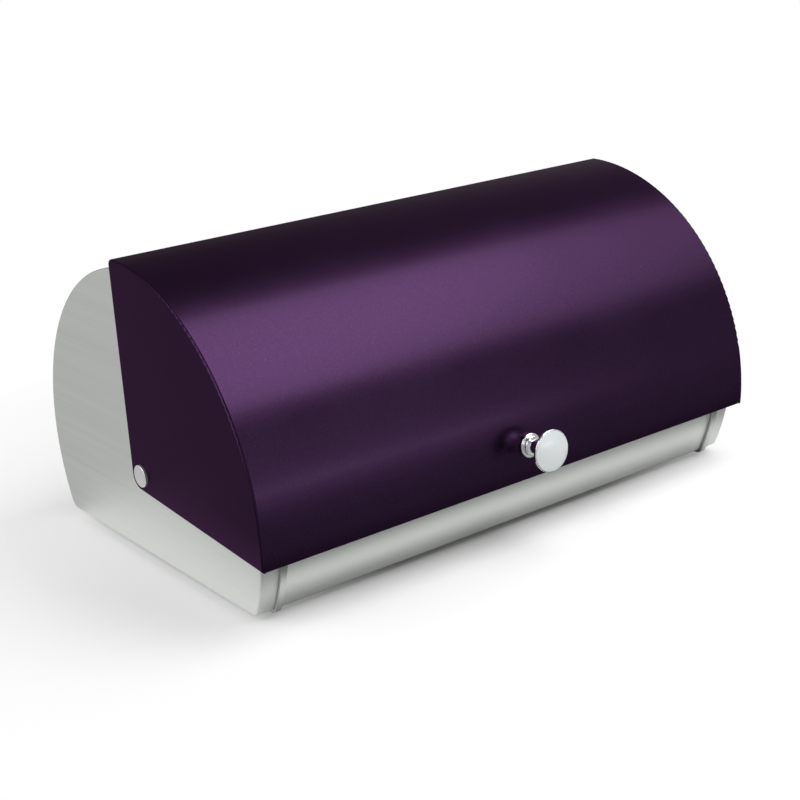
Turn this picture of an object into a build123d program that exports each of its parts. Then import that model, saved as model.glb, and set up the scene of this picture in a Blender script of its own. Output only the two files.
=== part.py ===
from build123d import *
import os
from math import asin, atan2, cos, degrees, hypot, radians, sin, sqrt, tan

# Bread box with a curved lid that turns back over the case.
# Millimetres. +Z is up, -Y is the front, X runs along the box.
# The origin is on the table, under the middle of the box and its knob.

# Overall sizes
lid_width = 390.0
back_radius = 126.0
pivot_height = 55.5
foot_height = 5.0

# The front wall's arc is this much smaller than the back's
front_radius_drop = 1.5

# The pivot lies in front of and above the centre of the lid's arc
pivot_forward = 9.3
pivot_above_arc = 8.4

# Sheet metal
sheet = 0.6
end_inset = 4.0
flange_depth = 14.5
panel_bend_radius = 1.5
front_corner_radius = 3.0
back_corner_radius = 8.0
hem_radius = 2.0
front_lip_height = 52.0

# Seam strips
strip_width = 4.0
strip_height = 2.0
strip_edge_radius = 0.9
strip_top_drop = 4.0
strip_from_back = 16.0

# Vents in the back
vent_count = 12
vent_radius = 2.5
vent_pitch = 18.0
vent_angle = 62.0

# Lid
lid_rear_from_pivot = 12.6
lid_bottom_from_pivot = 10.9
lid_corner_radius = 9.0
lid_front_height = 34.5
lid_side_depth = 2.0
lid_edge_radius = 1.3
lid_rear_roll = 3.5
lid_return = 4.0
lid_return_radius = 0.8
open_angle = 90.0

# Lid bumpers
bumper_height = 8.0
bumper_width = 14.0
bumper_overhang = 1.0
bumper_block_length = 35.0
bumper_edge_radius = 1.5
bumper_from_middle = 140.0

# Pivots
pin_radius = 3.0
pin_head_radius = 7.0
pin_head_height = 1.7
pin_head_edge = 0.5
spacer_radius = 8.0
clip_radius = 7.0
clip_height = 1.0
pin_tail = 1.5

# Knob, measured along its own axis from the lid
knob_angle = 86.0
collar_radius = 7.75
collar_height = 2.4
collar_edge_radius = 0.8
ring_radius = 6.4
ring_height = 2.4
ring_edge_radius = 0.8
neck_radius = 4.6
neck_height = 9.0
knob_radius = 13.25
knob_rim_start = 19.0
knob_rim_height = 2.0
knob_rim_edge_radius = 0.65
knob_face_lip = 0.7
knob_face_depth = 1.6
knob_face_crown = 2.2
knob_screw_radius = 2.0
knob_screw_depth = 12.0
knob_screw_head_radius = 4.0
knob_screw_head_height = 2.2
knob_screw_head_edge = 0.7
screw_slot_width = 1.2
screw_slot_depth = 1.0
screw_tip_gap = 0.5
knob_washer_radius = 6.0
knob_washer_height = 1.0

# Feet
foot_radius = 10.0
foot_top_radius = 8.5
foot_rim_height = 1.7
foot_from_end = 38.0
foot_from_front_corner = 38.0
foot_from_back_corner = 34.0
foot_rivet_radius = 2.0
foot_rivet_head_radius = 4.0
foot_rivet_head_height = 1.4
foot_rivet_head_edge = 0.7
foot_rivet_recess = 2.2

# Clearances
running_gap = 0.05
side_gap = 0.1
lid_over_back_gap = 1.3
rest_gap = 0.3
press = 0.02

# Places worked out from the sizes
front_radius = back_radius - front_radius_drop
lid_inner_radius = back_radius + hypot(pivot_forward, pivot_above_arc) + lid_over_back_gap
lid_radius = lid_inner_radius + sheet
knob_reach = knob_rim_start + knob_rim_height + knob_face_crown
front_reach = (lid_radius + knob_reach) * sin(radians(knob_angle))
back_reach = back_radius - pivot_forward
arc_y = (front_reach - back_reach) / 2
pivot_y = arc_y - pivot_forward
floor_z = foot_height
pivot_z = floor_z + pivot_height
arc_z = pivot_z - pivot_above_arc
front_arc_z = pivot_z + front_radius_drop
panel_x = lid_width / 2 - end_inset
seam_x = panel_x - flange_depth
lip_top_z = floor_z + front_lip_height


def front_wall_y(z):
    """Y of the case's front wall at height z."""
    return pivot_y - sqrt(front_radius**2 - (z - front_arc_z) ** 2)


def turned(point, angle):
    """A point (y, z) after the lid has turned back by the angle about the pivot."""
    y, z = point[0] - pivot_y, point[1] - pivot_z
    c, s = cos(radians(angle)), sin(radians(angle))
    return (pivot_y + y * c + z * s, pivot_z + z * c - y * s)


# The bumper's face that leads as the lid opens meets the back lip there
bumper_floor_z = lip_top_z + rest_gap
bumper_top_z = bumper_floor_z + bumper_height
bumper_inner_y = front_wall_y(lip_top_z) + 2 * hem_radius + bumper_overhang
bumper_stop = turned((bumper_inner_y, bumper_top_z), open_angle)
back_lip_radius = back_radius - hem_radius
back_lip_y = bumper_stop[0] + rest_gap + hem_radius
back_lip_angle = degrees(asin((back_lip_y - pivot_y) / back_lip_radius))


def case_outline(grow=0.0):
    """Side outline of the case: two arcs that share a tangent at the top, on a flat bottom."""
    front_drop = degrees(asin((front_arc_z - floor_z) / front_radius))
    back_drop = degrees(asin((pivot_z - floor_z) / back_radius))
    with BuildSketch() as outline:
        with BuildLine():
            back = CenterArc((pivot_y, pivot_z), back_radius, -back_drop, 90 + back_drop)
            front = CenterArc((pivot_y, front_arc_z), front_radius, 90, 90 + front_drop)
            Line(front @ 1, back @ 0)
        make_face()
        fillet(outline.vertices().group_by(Axis.Y)[0].sort_by(Axis.X)[0], front_corner_radius)
        fillet(outline.vertices().group_by(Axis.Y)[0].sort_by(Axis.X)[-1], back_corner_radius)
        if grow:
            offset(amount=grow)
    return outline.sketch


def opening_wedge():
    """Outline of the mouth, from the front lip round to the back lip."""
    reach = 3 * lid_radius
    lip_z = lip_top_z - hem_radius
    lip_dir = radians(back_lip_angle)
    with BuildSketch() as wedge:
        with BuildLine():
            Polyline(
                (pivot_y, lip_z),
                (pivot_y - reach, lip_z),
                (pivot_y - reach, pivot_z + reach),
                (pivot_y + reach * tan(lip_dir), pivot_z + reach),
                (pivot_y, pivot_z),
                close=True,
            )
        make_face()
    return wedge.sketch


def across(plane_x):
    """Plane square to X: its own x runs along Y and its own y runs along Z."""
    return Plane.YZ.offset(plane_x)


def pivot_plane(plane_x):
    """The same plane with its origin on the lid's pivot."""
    return Plane(origin=(plane_x, pivot_y, pivot_z), x_dir=(0, 1, 0), z_dir=(1, 0, 0))


def rounded_block(outline, outer_x, depth, side, radius, arcs_from=0):
    """The outline drawn out along X, with its outer rim rounded: all of it, or only its higher arcs."""
    with BuildPart() as block:
        with BuildSketch(across(side * outer_x)):
            add(outline)
        extrude(amount=-side * depth)
        rim = block.faces().sort_by(Axis.X)[-1 if side > 0 else 0].edges()
        if arcs_from:
            rim = rim.filter_by(GeomType.CIRCLE).sort_by(Axis.Z)[arcs_from:]
        fillet(rim, radius)
    return block.part


def save(piece, name):
    piece.part.label = name
    export_step(piece.part, f"parts/{name}.step")


os.makedirs("parts", exist_ok=True)
sides = (("left", -1), ("right", 1))

# End panels: a plate with a flange turned inwards all the way round
through = 4 * sheet
for side_name, side in sides:
    panel_block = rounded_block(case_outline(), panel_x, flange_depth, side, panel_bend_radius)
    panel_hollow = rounded_block(
        case_outline(-sheet), panel_x - sheet, flange_depth, side, panel_bend_radius - sheet
    )
    with BuildPart() as end_panel:
        add(panel_block)
        add(panel_hollow, mode=Mode.SUBTRACT)
        with BuildSketch(pivot_plane(side * panel_x)):
            Circle(pin_radius + running_gap)
        extrude(amount=-side * through, mode=Mode.SUBTRACT)
    save(end_panel, f"end_panel_{side_name}")

# Front wall, floor and back in one sheet, with a rolled hem at each lip
front_hem_z = lip_top_z - hem_radius
front_hem_y = front_wall_y(front_hem_z) + hem_radius
back_hem = (
    pivot_y + back_lip_radius * sin(radians(back_lip_angle)),
    pivot_z + back_lip_radius * cos(radians(back_lip_angle)),
)
foot_x = panel_x - foot_from_end
foot_front_y = front_wall_y(floor_z) + foot_from_front_corner
foot_back_y = pivot_y + sqrt(back_radius**2 - pivot_height**2) - foot_from_back_corner
foot_spots = [
    ("front_left", -foot_x, foot_front_y),
    ("front_right", foot_x, foot_front_y),
    ("back_left", -foot_x, foot_back_y),
    ("back_right", foot_x, foot_back_y),
]
vent_plane = Plane(
    origin=(0, pivot_y, pivot_z),
    x_dir=(1, 0, 0),
    z_dir=(0, sin(radians(vent_angle)), cos(radians(vent_angle))),
)
with BuildPart() as case_sheet:
    with BuildSketch(across(-seam_x)):
        add(case_outline())
        add(case_outline(-sheet), mode=Mode.SUBTRACT)
        add(opening_wedge(), mode=Mode.SUBTRACT)
        with Locations((front_hem_y, front_hem_z), back_hem):
            Circle(hem_radius)
    extrude(amount=2 * seam_x)
    with BuildSketch(vent_plane.offset(back_radius / 2)):
        with GridLocations(vent_pitch, vent_pitch, vent_count, 1):
            Circle(vent_radius)
    extrude(amount=back_radius, mode=Mode.SUBTRACT)
    with BuildSketch(Plane.XY.offset(floor_z + 2 * sheet)):
        with Locations(*[(x, y) for _, x, y in foot_spots]):
            Circle(foot_rivet_radius + running_gap)
    extrude(amount=-through, mode=Mode.SUBTRACT)
save(case_sheet, "case_sheet")

# Raised strips over the joints between the sheet and the flanges, down the front and under the floor
strip_top_z = lip_top_z - strip_top_drop
strip_back_y = pivot_y + sqrt(back_radius**2 - pivot_height**2) - strip_from_back
strip_top_angle = 180 + degrees(asin((front_arc_z - strip_top_z) / front_radius))
floor_angle = 180 + degrees(asin((front_arc_z - floor_z) / front_radius))
for side_name, side in sides:
    with BuildPart() as seam_strip:
        with BuildLine(across(side * seam_x)) as strip_path:
            down = CenterArc(
                (pivot_y, front_arc_z), front_radius, strip_top_angle, floor_angle - strip_top_angle
            )
            Line(down @ 1, (strip_back_y, floor_z))
            fillet(strip_path.vertices().sort_by(Axis.Y)[1], front_corner_radius)
        path = strip_path.wire()
        with BuildSketch(Plane(origin=path @ 0, x_dir=(1, 0, 0), z_dir=path % 0)) as section:
            Rectangle(strip_width, strip_height, align=(Align.CENTER, Align.MIN))
            fillet(section.vertices().group_by(Axis.Y)[0], strip_edge_radius)
        sweep(path=path)
    save(seam_strip, f"seam_strip_{side_name}")

# Feet, each with a recess for the rivet that holds it
for foot_name, x, y in foot_spots:
    with BuildPart(Plane.XY) as foot:
        with BuildSketch(Plane((x, y, 0), x_dir=(1, 0, 0), z_dir=(0, -1, 0))):
            with BuildLine():
                Polyline(
                    (0, 0),
                    (foot_radius, 0),
                    (foot_radius, foot_rim_height),
                    (foot_top_radius, foot_height),
                    (0, foot_height),
                    close=True,
                )
            make_face()
        revolve(axis=Axis((x, y, 0), (0, 0, 1)))
        with BuildSketch(Plane((x, y, 0))):
            Circle(foot_rivet_head_radius + rest_gap)
        extrude(amount=foot_rivet_recess, mode=Mode.SUBTRACT)
        with BuildSketch(Plane((x, y, 0))):
            Circle(foot_rivet_radius + running_gap)
        extrude(amount=foot_height, mode=Mode.SUBTRACT)
    save(foot, f"foot_{foot_name}")

    with BuildPart() as foot_rivet:
        with BuildSketch(Plane((x, y, foot_rivet_recess))):
            Circle(foot_rivet_head_radius)
        extrude(amount=-foot_rivet_head_height)
        with BuildSketch(Plane((x, y, foot_rivet_recess))):
            Circle(foot_rivet_radius)
        extrude(amount=foot_height - foot_rivet_recess + sheet)
        with BuildSketch(Plane((x, y, floor_z + sheet))):
            Circle(foot_rivet_head_radius)
        extrude(amount=foot_rivet_head_height)
        fillet(foot_rivet.edges().filter_by(GeomType.CIRCLE).sort_by(Axis.Z)[-1], foot_rivet_head_edge)
    save(foot_rivet, f"foot_rivet_{foot_name}")

# Pins that the lid turns on, with their spacers and push-on clips
for side_name, side in sides:
    with BuildPart() as pivot_rivet:
        with BuildSketch(pivot_plane(side * (lid_width / 2 + side_gap))):
            Circle(pin_head_radius)
        extrude(amount=side * pin_head_height)
        head_rim = pivot_rivet.edges().filter_by(GeomType.CIRCLE).sort_by(Axis.X)
        fillet(head_rim[-1 if side > 0 else 0], pin_head_edge)
        with BuildSketch(pivot_plane(side * (lid_width / 2 + side_gap))):
            Circle(pin_radius)
        extrude(amount=-side * (side_gap + end_inset + sheet + clip_height + pin_tail))
    save(pivot_rivet, f"pivot_rivet_{side_name}")

    with BuildPart() as pivot_spacer:
        with BuildSketch(pivot_plane(side * panel_x)):
            Circle(spacer_radius)
            Circle(pin_radius + running_gap, mode=Mode.SUBTRACT)
        extrude(amount=side * (end_inset - sheet - side_gap))
    save(pivot_spacer, f"pivot_spacer_{side_name}")

    with BuildPart() as pivot_clip:
        with BuildSketch(pivot_plane(side * (panel_x - sheet))):
            Circle(clip_radius)
            Circle(pin_radius - press, mode=Mode.SUBTRACT)
        extrude(amount=-side * clip_height)
    save(pivot_clip, f"pivot_clip_{side_name}")

# Outline of the lid: the crown, a small roll down at the rear, a rounded corner beyond the pivot
lid_front_z = floor_z + lid_front_height
lid_front_y = arc_y - sqrt(lid_radius**2 - (lid_front_z - arc_z) ** 2)
lid_rear_y = pivot_y + lid_rear_from_pivot
roll_offset = lid_rear_y - lid_rear_roll - arc_y
roll_height = sqrt((lid_radius - lid_rear_roll) ** 2 - roll_offset**2)
roll_center = (arc_y + roll_offset, arc_z + roll_height)
crown_start = degrees(atan2(roll_height, roll_offset))
crown_end = 180 + degrees(asin((arc_z - lid_front_z) / lid_radius))
pivot_span = hypot(pivot_y - lid_front_y, pivot_z - lid_front_z)
bottom_slope = atan2(pivot_z - lid_front_z, pivot_y - lid_front_y) - asin(lid_bottom_from_pivot / pivot_span)
lid_corner = (lid_rear_y, lid_front_z + (lid_rear_y - lid_front_y) * tan(bottom_slope))


def lid_outline(grow=0.0):
    """Side outline of the lid, whose bottom edge falls from the corner at the pivot to the front."""
    with BuildSketch() as outline:
        with BuildLine():
            crown = CenterArc((arc_y, arc_z), lid_radius, crown_start, crown_end - crown_start)
            roll = CenterArc(roll_center, lid_rear_roll, 0, crown_start)
            Polyline(roll @ 0, lid_corner, crown @ 1)
        make_face()
        fillet(outline.vertices().group_by(Axis.X)[-1].sort_by(Axis.Y)[0], lid_corner_radius)
        if grow:
            offset(amount=grow)
    return outline.sketch


def curved_strip(center, radius, start, size):
    """A strip of sheet along an arc, on the inside of it."""
    outer = CenterArc(center, radius, start, size)
    inner = CenterArc(center, radius - sheet, start, size)
    Line(outer @ 0, inner @ 0)
    Line(outer @ 1, inner @ 1)


# Lid skin: the crown, its rear roll and a return along the front bottom edge
skin_x = lid_width / 2 - lid_side_depth
knob_axis = (0, -sin(radians(knob_angle)), cos(radians(knob_angle)))
knob_foot = (0, arc_y + lid_radius * knob_axis[1], arc_z + lid_radius * knob_axis[2])
knob_plane = Plane(origin=knob_foot, x_dir=(1, 0, 0), z_dir=knob_axis)
with BuildPart() as lid_skin:
    with BuildSketch(across(-skin_x)) as skin_profile:
        with BuildLine():
            curved_strip((arc_y, arc_z), lid_radius, crown_start, crown_end - crown_start)
        make_face()
        with BuildLine():
            curved_strip(roll_center, lid_rear_roll, 0, crown_start)
        make_face()
        with Locations((lid_front_y, lid_front_z)):
            Rectangle(lid_return, sheet, align=(Align.MIN, Align.MIN))
        fillet(skin_profile.vertices().group_by(Axis.Y)[0].sort_by(Axis.X)[0], lid_return_radius)
    extrude(amount=2 * skin_x)
    with BuildSketch(knob_plane.offset(-through)):
        Circle(knob_screw_radius + running_gap)
    extrude(amount=2 * through, mode=Mode.SUBTRACT)
save(lid_skin, "lid_skin")

# Lid sides: a plate whose edges are turned in, and rounded where they meet the skin
for side_name, side in sides:
    side_block = rounded_block(
        lid_outline(), lid_width / 2, lid_side_depth, side, lid_edge_radius, arcs_from=1
    )
    side_hollow = rounded_block(
        lid_outline(-sheet), lid_width / 2 - sheet, lid_side_depth, side, lid_edge_radius - sheet, arcs_from=1
    )
    with BuildPart() as lid_side:
        add(side_block)
        add(side_hollow, mode=Mode.SUBTRACT)
        with BuildSketch(pivot_plane(side * lid_width / 2)):
            Circle(pin_radius + running_gap)
        extrude(amount=-side * through, mode=Mode.SUBTRACT)
    save(lid_side, f"lid_side_{side_name}")

    # Bumper: a rubber block inside the skin, over the front lip
    with BuildPart() as lid_bumper:
        with BuildSketch(across(side * bumper_from_middle - bumper_width / 2)):
            with Locations((bumper_inner_y, bumper_floor_z)):
                Rectangle(bumper_block_length, bumper_height, align=(Align.MAX, Align.MIN))
            with Locations((arc_y, arc_z)):
                Circle(lid_inner_radius, mode=Mode.INTERSECT)
        extrude(amount=bumper_width)
        inner_end = lid_bumper.faces().sort_by(Axis.Y)[-1]
        fillet(inner_end.edges(), bumper_edge_radius)
    save(lid_bumper, f"lid_bumper_{side_name}")

# Knob: each piece is turned about the knob's axis, from a profile of radius and height above the lid
knob_section = Plane(
    origin=knob_foot,
    x_dir=(1, 0, 0),
    z_dir=(0, -cos(radians(knob_angle)), -sin(radians(knob_angle))),
)
knob_line = Axis(knob_foot, knob_axis)
rim_top = knob_rim_start + knob_rim_height
face_seat = rim_top - knob_face_depth
face_radius = knob_radius - knob_face_lip

with BuildPart() as knob_collar:
    with BuildSketch(knob_plane):
        Circle(collar_radius)
        Circle(knob_screw_radius + running_gap, mode=Mode.SUBTRACT)
    extrude(amount=collar_height)
    fillet(knob_collar.faces().filter_by(GeomType.CYLINDER).sort_by(SortBy.AREA)[-1].edges()
           .filter_by(GeomType.CIRCLE), collar_edge_radius)
save(knob_collar, "knob_collar")

with BuildPart() as knob_bell:
    with BuildSketch(knob_section):
        with BuildLine():
            Polyline(
                (0, face_seat),
                (0, knob_screw_depth),
                (knob_screw_radius - press, knob_screw_depth),
                (knob_screw_radius - press, collar_height),
                (ring_radius, collar_height),
                (ring_radius, collar_height + ring_height),
                (neck_radius, collar_height + ring_height),
                (neck_radius, neck_height),
            )
            TangentArc((neck_radius, neck_height), (knob_radius, knob_rim_start), tangent=(0, 1))
            Polyline(
                (knob_radius, knob_rim_start),
                (knob_radius, rim_top),
                (face_radius, rim_top),
                (face_radius, face_seat),
                (0, face_seat),
            )
        make_face()
    revolve(axis=knob_line)
    rings = knob_bell.edges().filter_by(GeomType.CIRCLE)
    fillet(rings.filter_by(lambda e: abs(e.radius - ring_radius) < press), ring_edge_radius)
    fillet(rings.filter_by(lambda e: abs(e.radius - knob_radius) < press), knob_rim_edge_radius)
save(knob_bell, "knob_bell")

with BuildPart() as knob_face:
    with BuildSketch(knob_section):
        with BuildLine():
            edge_radius = face_radius - running_gap
            crown_top = rim_top + knob_face_crown
            crown_radius = (edge_radius**2 + knob_face_crown**2) / (2 * knob_face_crown)
            half = asin(edge_radius / crown_radius) / 2
            Polyline((edge_radius, rim_top), (edge_radius, face_seat), (0, face_seat), (0, crown_top))
            ThreePointArc(
                (0, crown_top),
                (crown_radius * sin(half), crown_top - crown_radius * (1 - cos(half))),
                (edge_radius, rim_top),
            )
        make_face()
    revolve(axis=knob_line)
save(knob_face, "knob_face")

# A flat washer under the curved skin bears on its rim
washer_sag = lid_inner_radius - sqrt(lid_inner_radius**2 - knob_washer_radius**2)
washer_top = -sheet - washer_sag
with BuildPart() as knob_washer:
    with BuildSketch(knob_plane.offset(washer_top)):
        Circle(knob_washer_radius)
        Circle(knob_screw_radius + running_gap, mode=Mode.SUBTRACT)
    extrude(amount=-knob_washer_height)
save(knob_washer, "knob_washer")

with BuildPart() as knob_screw:
    screw_seat = washer_top - knob_washer_height
    with BuildSketch(knob_plane.offset(screw_seat)):
        Circle(knob_screw_head_radius)
    extrude(amount=-knob_screw_head_height)
    head_edge = knob_screw.edges().filter_by(GeomType.CIRCLE).sort_by(knob_line)[0]
    fillet(head_edge, knob_screw_head_edge)
    with BuildSketch(knob_plane.offset(screw_seat - knob_screw_head_height)):
        Rectangle(2 * knob_screw_head_radius, screw_slot_width)
    extrude(amount=screw_slot_depth, mode=Mode.SUBTRACT)
    with BuildSketch(knob_plane.offset(screw_seat)):
        Circle(knob_screw_radius)
    extrude(amount=knob_screw_depth - screw_tip_gap - screw_seat)
save(knob_screw, "knob_screw")
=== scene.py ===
from math import cos, pi, radians, sin

import bpy
from mathutils import Matrix, Vector

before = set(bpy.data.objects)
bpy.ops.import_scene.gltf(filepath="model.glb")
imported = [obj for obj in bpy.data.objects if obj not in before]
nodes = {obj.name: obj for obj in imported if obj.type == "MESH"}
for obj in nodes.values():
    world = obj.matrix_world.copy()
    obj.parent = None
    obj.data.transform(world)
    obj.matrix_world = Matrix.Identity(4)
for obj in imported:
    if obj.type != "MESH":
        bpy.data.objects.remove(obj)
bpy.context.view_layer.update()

# Camera, at the photograph's angle. Its place is in metres, its angles are in degrees, and the image's
# centre is in pixels of the photograph
image_size = 800
focal_length_px = 1561.2
image_centre_px = (415.97, 410.93)
camera_place = Vector((-0.59118, -0.78594, 0.40069))
camera_azimuth = -37.114
camera_elevation = 19.372
camera_roll = 3.082
sensor_width_mm = 36.0


def make_camera():
    azimuth, elevation, roll = (radians(a) for a in (camera_azimuth, camera_elevation, camera_roll))
    back = Vector((sin(azimuth) * cos(elevation), -cos(azimuth) * cos(elevation), sin(elevation)))
    right = (-back).cross(Vector((0, 0, 1))).normalized()
    up = back.cross(right)
    turn = Matrix.Rotation(-roll, 3, back)
    data = bpy.data.cameras.new("camera")
    data.sensor_width = sensor_width_mm
    data.lens = focal_length_px / image_size * sensor_width_mm
    data.shift_x = (image_size / 2 - image_centre_px[0]) / image_size
    data.shift_y = (image_centre_px[1] - image_size / 2) / image_size
    camera = bpy.data.objects.new("camera", data)
    axes = Matrix((turn @ right, turn @ up, back)).transposed()
    camera.matrix_world = Matrix.Translation(camera_place) @ axes.to_4x4()
    bpy.context.scene.collection.objects.link(camera)
    bpy.context.scene.camera = camera


make_camera()


# Node helpers
class Tree:
    """Adds nodes to a material's or the world's node tree, linked to what feeds them.

    Sockets that share a name with others of their node, as the Mix node's do, are given by number.
    """

    def __init__(self, owner):
        owner.use_nodes = True
        self.graph = owner.node_tree
        self.space = None

    def add(self, kind, inputs=None, **settings):
        node = self.graph.nodes.new(kind)
        for name, value in settings.items():
            setattr(node, name, value)
        self.feed(node, inputs or {})
        return node

    def feed(self, node, inputs):
        """Links each input to another node's output, or sets it to a plain value."""
        for name, value in inputs.items():
            if isinstance(value, bpy.types.NodeSocket):
                self.graph.links.new(value, node.inputs[name])
            else:
                node.inputs[name].default_value = value

    def feed_own(self, name, inputs):
        """Feeds a node that the tree starts with, and returns it."""
        node = self.graph.nodes[name]
        self.feed(node, inputs)
        return node

    def place(self):
        """The piece's own coordinates, in metres."""
        if self.space is None:
            self.space = self.add("ShaderNodeTexCoord").outputs["Object"]
        return self.space

    def stretched(self, scale):
        """The piece's own coordinates multiplied along each axis."""
        return self.add("ShaderNodeMapping", {"Vector": self.place(), "Scale": scale}).outputs["Vector"]

    def noise(self, scale, detail=2.0, roughness=0.5):
        """Noise between 0 and 1, mostly near the middle. scale is its scale along each axis."""
        inputs = {"Vector": self.stretched(scale), "Scale": 1.0, "Detail": detail, "Roughness": roughness}
        return self.add("ShaderNodeTexNoise", inputs).outputs["Fac"]

    def spread(self, value, low, high, from_low=0.3, from_high=0.7):
        """The value moved from its own range to low and high."""
        inputs = {"Value": value, "From Min": from_low, "From Max": from_high, "To Min": low, "To Max": high}
        return self.add("ShaderNodeMapRange", inputs).outputs["Result"]

    def blend(self, fac, first, second):
        """A colour between two, by the value of fac."""
        return self.add("ShaderNodeMix", {0: fac, 6: first, 7: second}, data_type="RGBA").outputs[2]

    def choose(self, fac, first, second):
        """The first number where fac is 0, the second where it is 1."""
        return self.add("ShaderNodeMix", {0: fac, 2: first, 3: second}, data_type="FLOAT").outputs[0]

    def math(self, operation, first, second):
        return self.add("ShaderNodeMath", {0: first, 1: second}, operation=operation).outputs[0]

    def bump(self, height, distance):
        inputs = {"Height": height, "Distance": distance, "Strength": 1.0}
        return self.add("ShaderNodeBump", inputs).outputs["Normal"]

    def seen(self):
        """1 on rays from the camera, 0 on others."""
        return self.add("ShaderNodeLightPath").outputs["Is Camera Ray"]

    def mirrored(self):
        """1 on rays that a gloss or a glass sends out, 0 on others."""
        path = self.add("ShaderNodeLightPath").outputs
        return self.math("MAXIMUM", path["Is Glossy Ray"], path["Is Transmission Ray"])


def rgb(red, green, blue):
    return (red, green, blue, 1.0)


def grey(level):
    return rgb(level, level, level)


def even(scale):
    """The same scale along all three axes."""
    return (scale, scale, scale)


# Materials. Noise scales are per metre and bump heights in metres
principled = "Principled BSDF"


def lid_lacquer():
    """Purple metallic lacquer: fine flakes under a thin clear coat with a trace of orange peel."""
    flake_range = (0.45, 0.75)
    peel_height = 0.000004
    material = bpy.data.materials.new("lid_lacquer")
    tree = Tree(material)
    flakes = tree.noise(even(2600), detail=1.0)
    drift = tree.noise(even(18), detail=2.0)
    peel = tree.noise(even(320), detail=1.0)
    base = tree.blend(tree.spread(drift, 0, 1), rgb(0.0262, 0.0111, 0.0330), rgb(0.0288, 0.0122, 0.0362))
    glint = tree.blend(tree.spread(flakes, 0, 1, *flake_range), base, rgb(0.045, 0.020, 0.058))
    tree.feed_own(principled, {
        "Base Color": glint,
        "Metallic": 1.0,
        "Roughness": tree.spread(drift, 0.27, 0.31),
        "Normal": tree.bump(peel, peel_height),
        "Specular Tint": rgb(0.60, 0.52, 0.58),
        "Coat Weight": 0.02,
        "Coat Roughness": 0.12,
    })
    return material


def brushed_steel(name, grain, light=(0.72, 0.74, 0.71), dark=(0.67, 0.69, 0.66), roughness=(0.46, 0.54),
                  metallic=1.0):
    """Satin steel with fine brush lines and broader streaks. grain is the lines' scale along each axis."""
    times_broader = 12
    mean_range = (0.35, 0.65)
    line_height = 0.0000012
    material = bpy.data.materials.new(name)
    tree = Tree(material)
    lines = tree.noise(grain, detail=3.0, roughness=0.6)
    streaks = tree.noise(tuple(scale / times_broader for scale in grain), detail=2.0)
    mean = tree.math("MULTIPLY", tree.math("ADD", lines, streaks), 0.5)
    tree.feed_own(principled, {
        "Base Color": tree.blend(tree.spread(mean, 0, 1, *mean_range), rgb(*dark), rgb(*light)),
        "Metallic": metallic,
        "Roughness": tree.spread(mean, *roughness, *mean_range),
        "Normal": tree.bump(lines, line_height),
    })
    return material


def plain_metal(name, color, roughness, wear=0.04):
    """Smooth metal with faint handling marks."""
    material = bpy.data.materials.new(name)
    tree = Tree(material)
    marks = tree.noise(even(700), detail=3.0, roughness=0.7)
    tree.feed_own(principled, {
        "Base Color": rgb(*color),
        "Metallic": 1.0,
        "Roughness": tree.spread(marks, roughness, roughness + wear),
    })
    return material


def moulded(name, first, second, roughness, coat=0.0, grain_height=0.00001):
    """Plastic or rubber with a fine moulded grain."""
    material = bpy.data.materials.new(name)
    tree = Tree(material)
    cloud = tree.noise(even(60))
    grain = tree.noise(even(900), detail=2.0)
    tree.feed_own(principled, {
        "Base Color": tree.blend(tree.spread(cloud, 0, 1), rgb(*first), rgb(*second)),
        "Roughness": tree.spread(grain, *roughness),
        "Normal": tree.bump(grain, grain_height),
        "Coat Weight": coat,
        "Coat Roughness": 0.03,
    })
    return material


# Brush lines' scales along X, Y and Z, low in the direction that the lines run
along_x = (6, 1500, 1500)
along_y = (1500, 9, 1500)
along_strip = (1500, 90, 90)
materials = {
    "lid": lid_lacquer(),
    "sheet": brushed_steel("case_steel", along_x, roughness=(0.34, 0.42), metallic=0.92),
    "panel": brushed_steel("panel_steel", along_y),
    "seam": brushed_steel("seam_steel", along_strip, light=(0.60, 0.62, 0.60), dark=(0.55, 0.57, 0.55),
                          roughness=(0.26, 0.34)),
    "rivet": plain_metal("rivet_satin", (0.80, 0.77, 0.79), 0.42),
    "clip": plain_metal("spring_steel", (0.30, 0.30, 0.31), 0.35),
    "fastener": plain_metal("fastener_steel", (0.60, 0.60, 0.60), 0.28),
    "chrome": plain_metal("knob_chrome", (0.86, 0.86, 0.88), 0.05, wear=0.03),
    "face": moulded("knob_white", (0.60, 0.64, 0.65), (0.64, 0.67, 0.68), (0.18, 0.24), coat=0.6,
                    grain_height=0.000001),
    "nylon": moulded("nylon", (0.62, 0.61, 0.57), (0.68, 0.67, 0.63), (0.45, 0.55)),
    "rubber": moulded("rubber", (0.020, 0.020, 0.021), (0.030, 0.030, 0.031), (0.6, 0.75)),
}
material_of = {
    "case_sheet": "sheet",
    "end_panel": "panel",
    "seam_strip": "seam",
    "foot_rivet": "fastener",
    "foot": "rubber",
    "pivot_rivet": "rivet",
    "pivot_spacer": "nylon",
    "pivot_clip": "clip",
    "lid_bumper": "rubber",
    "lid": "lid",
    "knob_collar": "chrome",
    "knob_bell": "chrome",
    "knob_face": "face",
    "knob": "fastener",
}


def dress_nodes():
    """Gives each node the material of the key that its name starts with; the longest key wins."""
    for name, node in nodes.items():
        key = max((k for k in material_of if name.startswith(k)), key=len)
        node.data.materials.clear()
        node.data.materials.append(materials[material_of[key]])


dress_nodes()

# Floor. Lengths are in metres, and levels are shares of white
floor_half_side = 9.0
floor_levels = (0.88, 0.90)
# Reach from the middle over which the floor turns to plain white for the camera
seen_fade = (0.12, 0.44)
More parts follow.
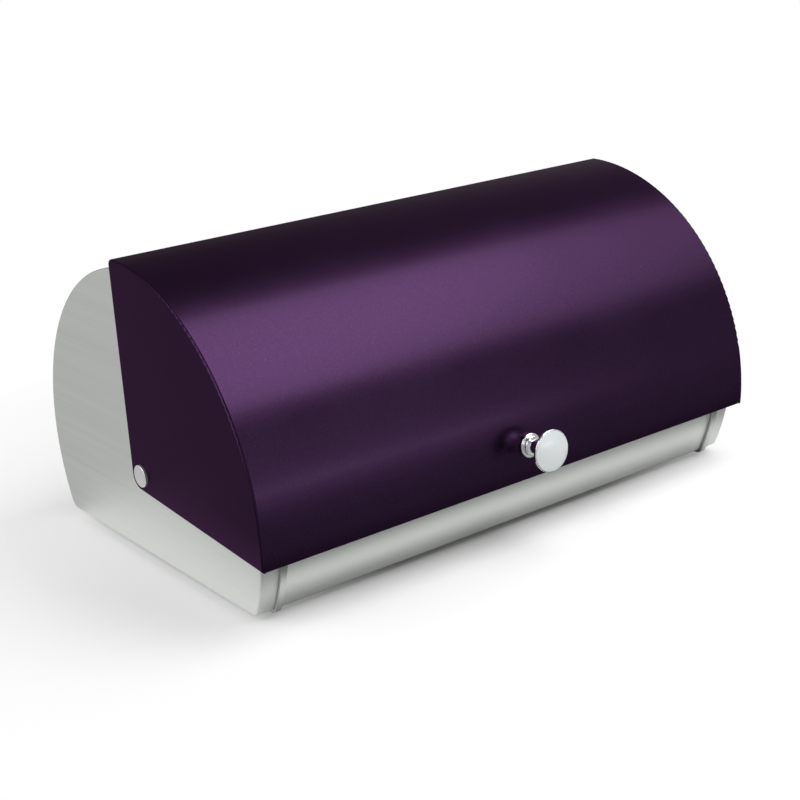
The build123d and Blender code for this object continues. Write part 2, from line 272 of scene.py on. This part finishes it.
# What a gloss mirrors of the floor is a painted reflection, not the floor's own shading: dimmed under the
# box as painted shade, a glowing white rim beside it, then grey. Only a share of the reach to the side
# counts, because the box is longer than it is deep, and less where the rim ends
painted_dim_under_level = 0.55
side_share = 0.58
rim_side_share = 0.86
rim_start = (0.103, 0.116)
rim_end = (0.120, 0.133)
painted_rim_glow_level = 1.0
# Along Y, that grey falls from the far front to a dark band close in front, and rises to the back. The dark
# band is painted shade: the front wall mirrors it just under the lid, in place of the lid's shadow
painted_shade_band_level = 0.06
front_level, front_y = 0.52, (-0.20, -0.15)
back_level, back_y = 0.56, (-0.13, 0.1)


def mirrored_floor(tree):
    """How far the white emission covers the floor in a mirror, and its level there. Both paint the
    reflection: a bright rim beside the box and a dark band of painted shade in front.
    """
    place = tree.stretched((side_share, 1, 1))
    either_side = tree.add("ShaderNodeVectorMath", {0: place}, operation="ABSOLUTE").outputs[0]
    reach = tree.add("ShaderNodeSeparateXYZ", {0: either_side}).outputs
    cover = tree.spread(tree.math("MAXIMUM", reach["X"], reach["Y"]), 0, 1, *rim_start)
    rim_reach = tree.math("MAXIMUM", tree.math("MULTIPLY", reach["X"], rim_side_share), reach["Y"])
    y = tree.add("ShaderNodeSeparateXYZ", {0: tree.place()}).outputs["Y"]
    to_back = tree.spread(y, painted_shade_band_level, back_level, *back_y)
    to_front = tree.spread(y, front_level, painted_shade_band_level, *front_y)
    level = tree.spread(rim_reach, painted_rim_glow_level, tree.math("MAXIMUM", to_back, to_front), *rim_end)
    return cover, level


def make_floor():
    """Pale floor with the box's shadow. Further out it turns to plain white for the camera. In a mirror it
    shows a painted reflection instead of its own shading.
    """
    side = floor_half_side
    corners = [(-side, -side, 0), (side, -side, 0), (side, side, 0), (-side, side, 0)]
    mesh = bpy.data.meshes.new("floor")
    mesh.from_pydata(corners, [], [(0, 1, 2, 3)])
    floor = bpy.data.objects.new("floor", mesh)
    bpy.context.scene.collection.objects.link(floor)
    material = bpy.data.materials.new("floor")
    tree = Tree(material)
    mirrored = tree.mirrored()
    pale = tree.blend(tree.spread(tree.noise(even(3)), 0, 1), *(grey(level) for level in floor_levels))
    matt = tree.feed_own(principled, {
        # In a mirror the matt floor is dimmed to a lower level, which is painted shade in its reflection
        "Base Color": tree.blend(mirrored, pale, grey(painted_dim_under_level)),
        "Roughness": 0.9,
        "Specular IOR Level": 0.1,
    })
    # In a mirror the floor glows by a painted profile: a bright rim, and a dark band of painted shade
    cover, level = mirrored_floor(tree)
    reach = tree.add("ShaderNodeVectorMath", {0: tree.place()}, operation="LENGTH").outputs["Value"]
    far = tree.math("MULTIPLY", tree.spread(reach, 0, 1, *seen_fade), tree.seen())
    fac = tree.math("MAXIMUM", far, tree.math("MULTIPLY", cover, mirrored))
    white = tree.add("ShaderNodeEmission", {"Strength": tree.choose(mirrored, 1.0, level)})
    mixed = tree.add("ShaderNodeMixShader", {0: fac, 1: matt.outputs[0], 2: white.outputs[0]})
    tree.feed_own("Material Output", {"Surface": mixed.outputs[0]})
    mesh.materials.append(material)


# World. Levels are strengths of white
horizon_level, overhead_level, fill_level = 0.55, 0.28, 0.38
# Height of a unit direction, over which the horizon's level turns to the one overhead
rise = (0.25, 0.75)
# Dot product of a unit direction with one to the back, away from the camera's side, over which the world
# falls to a share of its level
away_direction = (0.25, 1.0, 0.0)
away = (0.75, 0.92)
away_share = 0.52


def make_world():
    """White for the camera. In a mirror it is grey, darker overhead and behind. Matt surfaces get a fill."""
    world = bpy.data.worlds.new("world")
    bpy.context.scene.world = world
    tree = Tree(world)
    direction = tree.add("ShaderNodeTexCoord").outputs["Generated"]
    height = tree.add("ShaderNodeSeparateXYZ", {0: direction}).outputs["Z"]
    facing = tree.add("ShaderNodeVectorMath", {0: direction, 1: away_direction}, operation="DOT_PRODUCT")
    shade = tree.spread(facing.outputs["Value"], 1.0, away_share, *away)
    level = tree.math("MULTIPLY", tree.spread(height, horizon_level, overhead_level, *rise), shade)
    strength = tree.math("MAXIMUM", tree.choose(tree.mirrored(), fill_level, level), tree.seen())
    tree.feed_own("Background", {"Color": grey(1.0), "Strength": strength})


# Lamps. Places and sizes are in metres
def make_softbox(name, centre, target, size, radiance):
    """A rectangular lamp at centre that faces target. size is its side along X and its other side.

    Its power is its radiance times its area times pi.
    """
    data = bpy.data.lights.new(name, "AREA")
    data.shape = "RECTANGLE"
    data.size, data.size_y = size
    data.energy = radiance * size[0] * size[1] * pi
    lamp = bpy.data.objects.new(name, data)
    back = (Vector(centre) - Vector(target)).normalized()
    across = Vector((1, 0, 0))
    across = (across - back * across.dot(back)).normalized()
    axes = Matrix((across, back.cross(across), back)).transposed()
    lamp.matrix_world = Matrix.Translation(centre) @ axes.to_4x4()
    bpy.context.scene.collection.objects.link(lamp)


box_middle = (0.0, 0.0, 0.1)
box_left = (-0.20, 0.0, 0.1)
make_floor()
make_world()
make_softbox("key_wide", (0.62, -0.42, 0.90), (0.62, -0.30, 0.0), (1.20, 0.94), 2.1)
make_softbox("key_near", (0.38, -0.42, 0.91), (0.38, -0.30, 0.0), (0.68, 0.94), 2.05)
make_softbox("front_fill", (0.62, -1.55, 0.50), box_middle, (0.9, 0.8), 0.5)
make_softbox("low_strip", (0.78, -1.90, 0.10), box_middle, (1.0, 0.12), 4.4)
make_softbox("left_fill", (-0.95, 0.06, 0.70), box_left, (0.85, 1.0), 2.1)

scene = bpy.context.scene
scene.view_settings.view_transform = "Standard"
